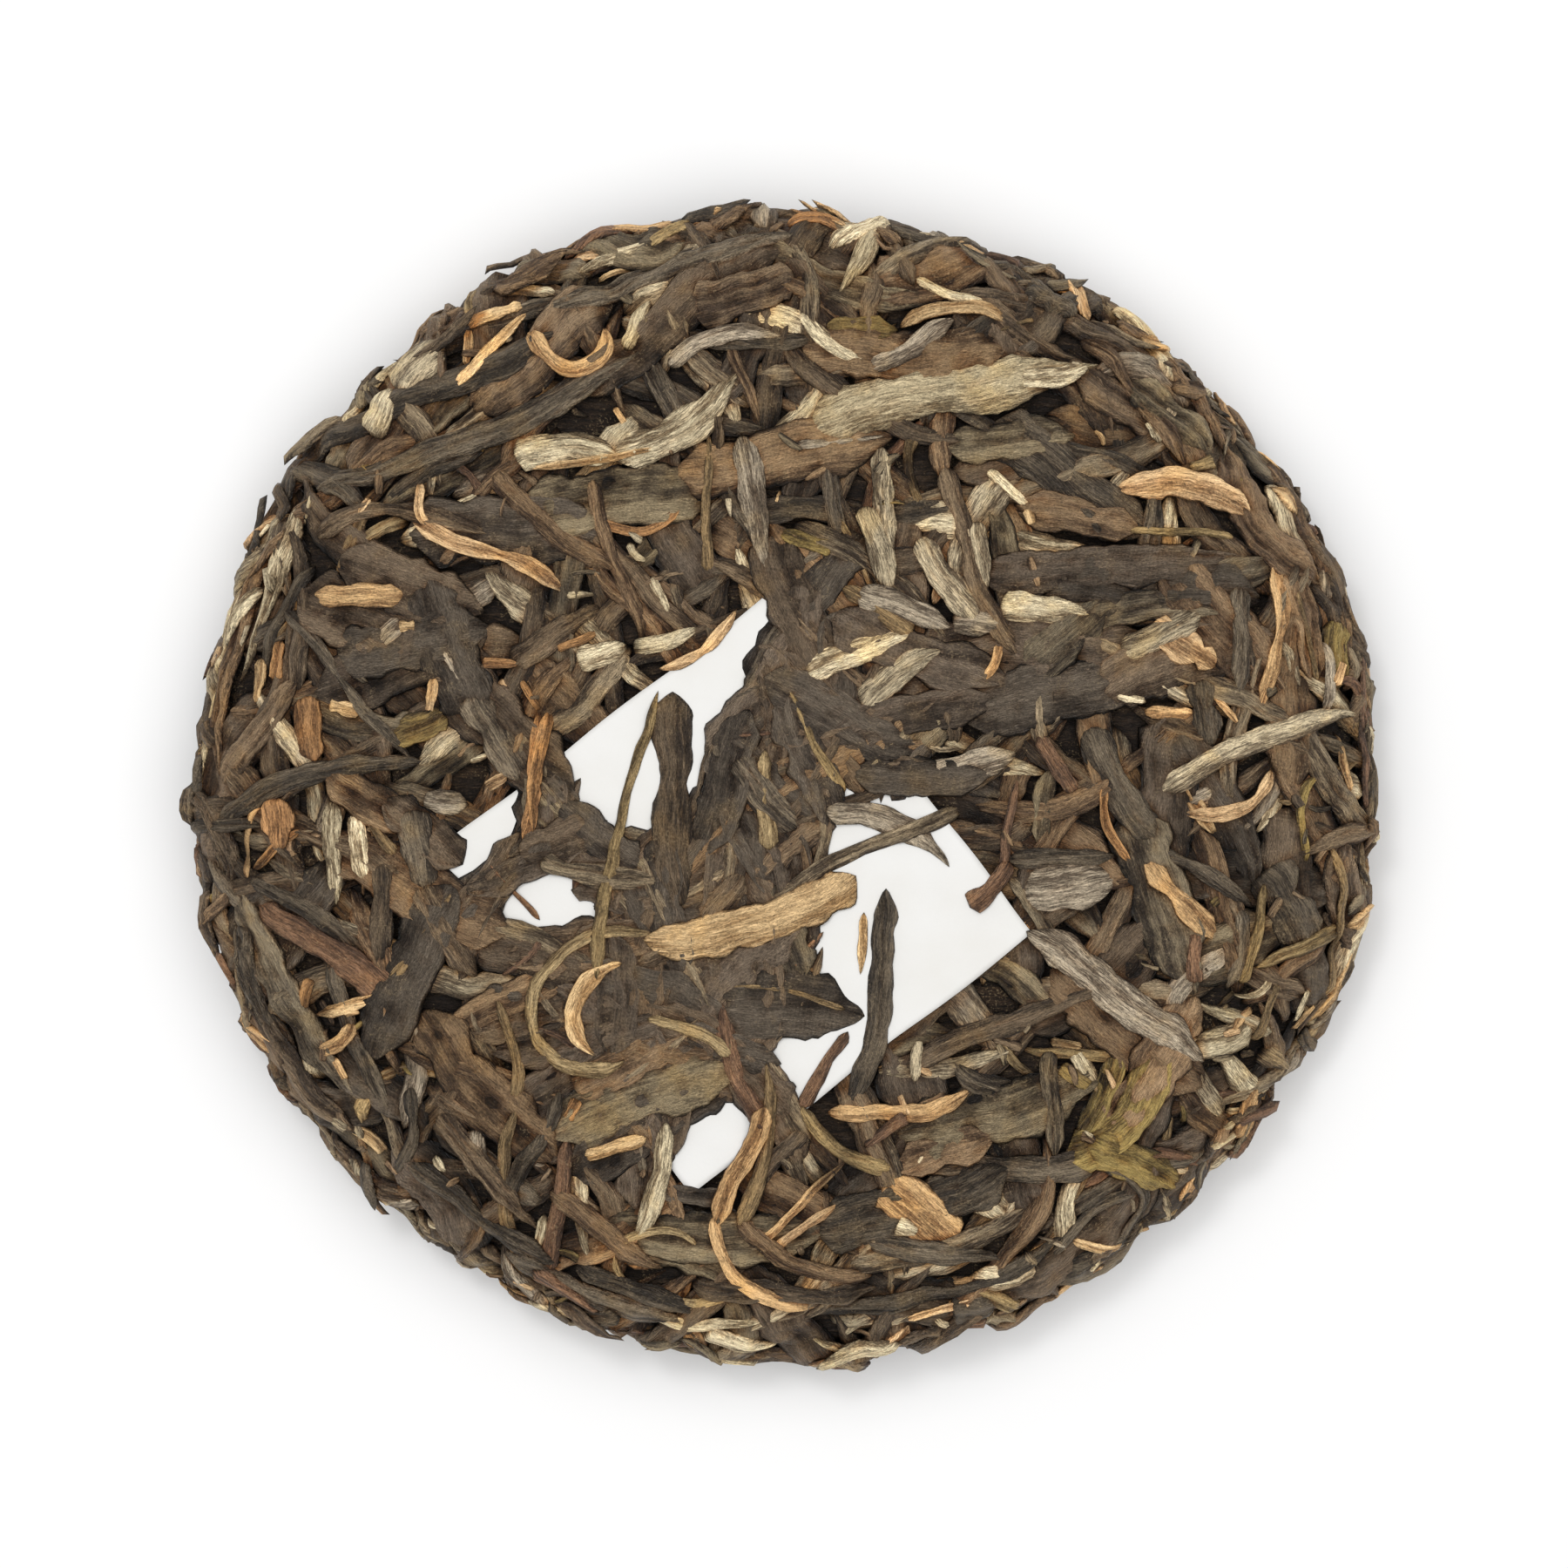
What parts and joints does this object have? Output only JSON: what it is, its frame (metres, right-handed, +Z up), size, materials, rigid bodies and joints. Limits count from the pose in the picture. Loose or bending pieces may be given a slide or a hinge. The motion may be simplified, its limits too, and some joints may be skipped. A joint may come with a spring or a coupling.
{
  "type": "tea cake",
  "caption": "Round cake of pressed whole-leaf pu erh tea with a square paper ticket under its top leaves and a knot hollow underneath.",
  "frame": {"origin": "middle of the plane that the underside rests on, under the centre of the cake's box", "axes": "+Z up out of the face with the ticket, +Y towards the top edge of the picture, +X to its right"},
  "size_m": [0.1532, 0.1488, 0.022],
  "materials": {
    "leaf": "dry tea leaf, dark brown with silver and tan buds, matt with a slight sheen",
    "paper": "thin uncoated white paper, unprinted"
  },
  "bodies": {
    "root": {"tea_cake": "leaf", "ticket": "paper"}
  },
  "joints": []
}
